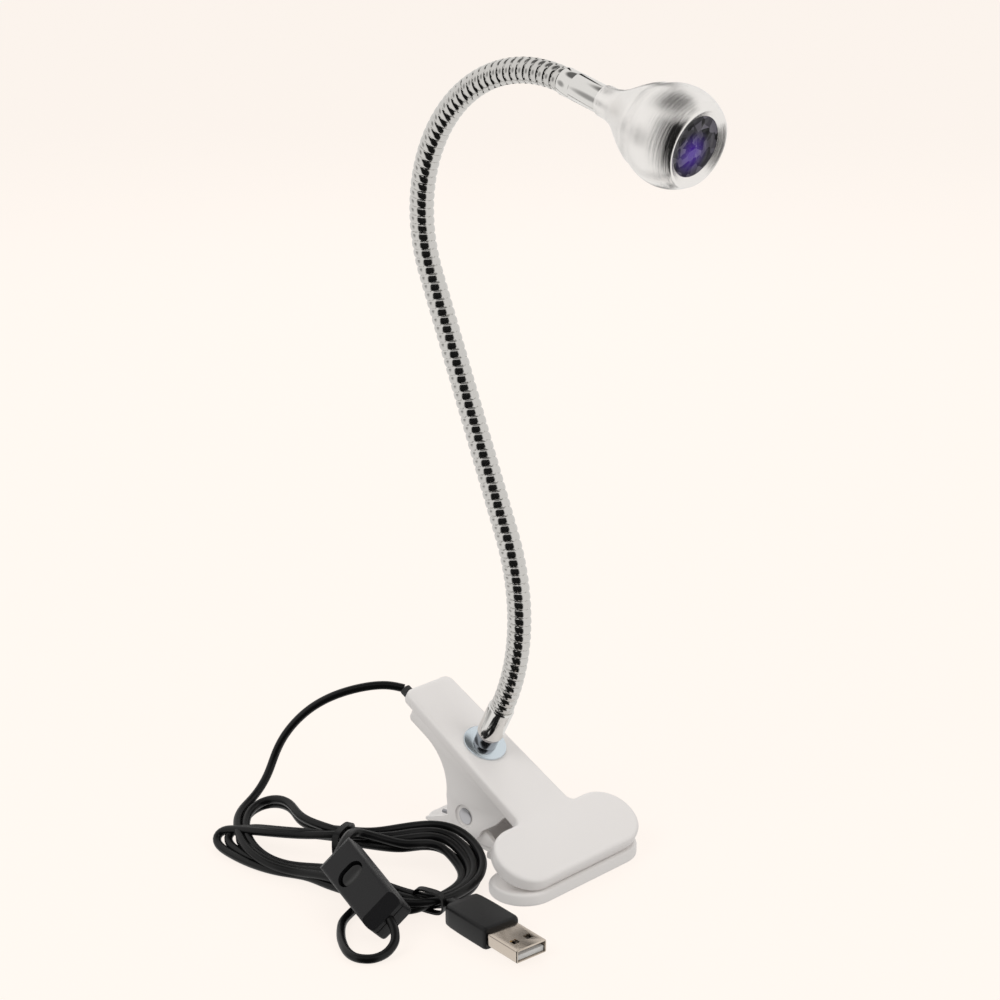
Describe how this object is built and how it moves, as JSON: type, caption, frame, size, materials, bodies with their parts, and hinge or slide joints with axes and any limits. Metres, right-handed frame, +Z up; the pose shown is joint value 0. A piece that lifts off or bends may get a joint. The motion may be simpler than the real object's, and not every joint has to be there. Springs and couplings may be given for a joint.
{
  "type": "uv curing lamp",
  "caption": "Small clip-on UV curing lamp: ball-shaped metal head on a chromed gooseneck, a sprung white plastic clip and a black USB lead with a rocker switch.",
  "frame": {"origin": "on the resting plane, straight below the middle of the washer under the gooseneck (on the flat underside of the lower arm)", "axes": "+X forward towards the jaws and the lit end, +Y to the clip's left seen from behind, +Z up, right-handed"},
  "size_m": [0.154, 0.1207, 0.2673],
  "materials": {
    "clip_plastic": "semi-matte injection moulding",
    "zinc": "bright zinc with a blue tint",
    "chrome": "polished",
    "dark_chrome": "polished black chrome",
    "turned_aluminium": "satin, lathe turned",
    "polished_aluminium": "bright turned",
    "spring_steel": "drawn wire",
    "steel": "plain",
    "rubber": "matte",
    "cord_pvc": "satin PVC",
    "switch_plastic": "fine spark-eroded texture",
    "rocker_plastic": "glossy",
    "lens_plastic": "faceted, violet",
    "clear_plastic": "clear moulding",
    "nickel": "nickel plate",
    "contact_gold": "gold flash",
    "brass": "plain",
    "board_core": "white solder mask on aluminium",
    "tongue_white": "plain",
    "wire_red": "PVC"
  },
  "bodies": {
    "lower_arm": {"lower_arm": "clip_plastic", "lower_pad": "rubber", "spring_lower_half": "spring_steel", "cord_lead": "cord_pvc", "cord_hank": "cord_pvc", "cord_bridge": "cord_pvc", "cord_loop": "cord_pvc", "tie_1": "cord_pvc", "tie_2": "cord_pvc", "switch_top": "switch_plastic", "switch_bottom": "switch_plastic", "switch_contacts": "brass", "switch_screws": "steel", "plug_overmould": "switch_plastic", "plug_shell": "nickel", "plug_tongue": "tongue_white", "plug_contacts": "contact_gold"},
    "upper_arm": {"upper_arm": "clip_plastic", "hinge_pin": "steel", "upper_pad": "rubber", "spring_upper_half": "spring_steel", "base_washer": "zinc", "lock_washer": "steel", "clamp_nut": "steel", "base_stud": "steel", "base_collar": "dark_chrome", "base_ferrule": "chrome", "arm_wire": "cord_pvc", "cord_grommet": "rubber", "neck_link_1": "chrome", "neck_wire_1": "wire_red"},
    "neck_2": {"neck_link_2": "chrome", "neck_wire_2": "wire_red"},
    "neck_3": {"neck_link_3": "chrome", "neck_wire_3": "wire_red"},
    "neck_4": {"neck_link_4": "chrome", "neck_wire_4": "wire_red"},
    "neck_5": {"neck_link_5": "chrome", "neck_wire_5": "wire_red"},
    "neck_6": {"neck_link_6": "chrome", "neck_wire_6": "wire_red"},
    "neck_7": {"neck_link_7": "chrome", "neck_wire_7": "wire_red"},
    "neck_8": {"neck_link_8": "chrome", "neck_wire_8": "wire_red"},
    "head": {"neck_link_9": "chrome", "neck_wire_9": "wire_red", "head_ferrule": "chrome", "head_shell": "turned_aluminium", "head_bezel": "polished_aluminium", "lens_cover": "lens_plastic", "lens_seal": "rubber", "lens_body": "clear_plastic", "lens_holder": "rocker_plastic", "led_emitter": "contact_gold", "led_board": "board_core", "board_screws": "steel", "head_wire": "wire_red"},
    "rocker": {"switch_rocker": "rocker_plastic"}
  },
  "joints": [
    {"name": "clip_hinge", "type": "hinge", "parent": "lower_arm", "child": "upper_arm", "pos_m": [0.0005, 0, 0.0105], "axis": [0, -1, 0], "range_deg": [0, 28], "stiffness_Nm_per_rad": 0.35, "springref_deg": -45.84, "deforming": ["cord_lead"]},
    {"name": "neck_1", "type": "hinge", "parent": "upper_arm", "child": "neck_2", "pos_m": [0.01612, 0, 0.08077], "axis": [0.9994, 0, -0.0349], "range_deg": [-18, 18]},
    {"name": "neck_2", "type": "hinge", "parent": "neck_2", "child": "neck_3", "pos_m": [0.01034, 0, 0.11199], "axis": [0, 1, 0], "range_deg": [-18, 18]},
    {"name": "neck_3", "type": "hinge", "parent": "neck_3", "child": "neck_4", "pos_m": [-0.00113, 0, 0.13899], "axis": [0.9205, 0, 0.3907], "range_deg": [-18, 18]},
    {"name": "neck_4", "type": "hinge", "parent": "neck_4", "child": "neck_5", "pos_m": [-0.01259, 0, 0.16599], "axis": [0, 1, 0], "range_deg": [-18, 18]},
    {"name": "neck_5", "type": "hinge", "parent": "neck_5", "child": "neck_6", "pos_m": [-0.02405, 0, 0.19299], "axis": [0.9205, 0, 0.3907], "range_deg": [-18, 18]},
    {"name": "neck_6", "type": "hinge", "parent": "neck_6", "child": "neck_7", "pos_m": [-0.02748, 0, 0.22042], "axis": [0, 1, 0], "range_deg": [-18, 18]},
    {"name": "neck_7", "type": "hinge", "parent": "neck_7", "child": "neck_8", "pos_m": [-0.01596, 0, 0.24555], "axis": [0.7604, 0, -0.6494], "range_deg": [-18, 18]},
    {"name": "neck_8", "type": "hinge", "parent": "neck_8", "child": "head", "pos_m": [0.00706, 0, 0.26086], "axis": [0, 1, 0], "range_deg": [-18, 18]},
    {"name": "switch_rocker", "type": "hinge", "parent": "lower_arm", "child": "rocker", "pos_m": [0.01061, -0.06852, 0.01307], "axis": [0.3041, 0.6736, 0.6736], "range_deg": [-5, 5]}
  ]
}
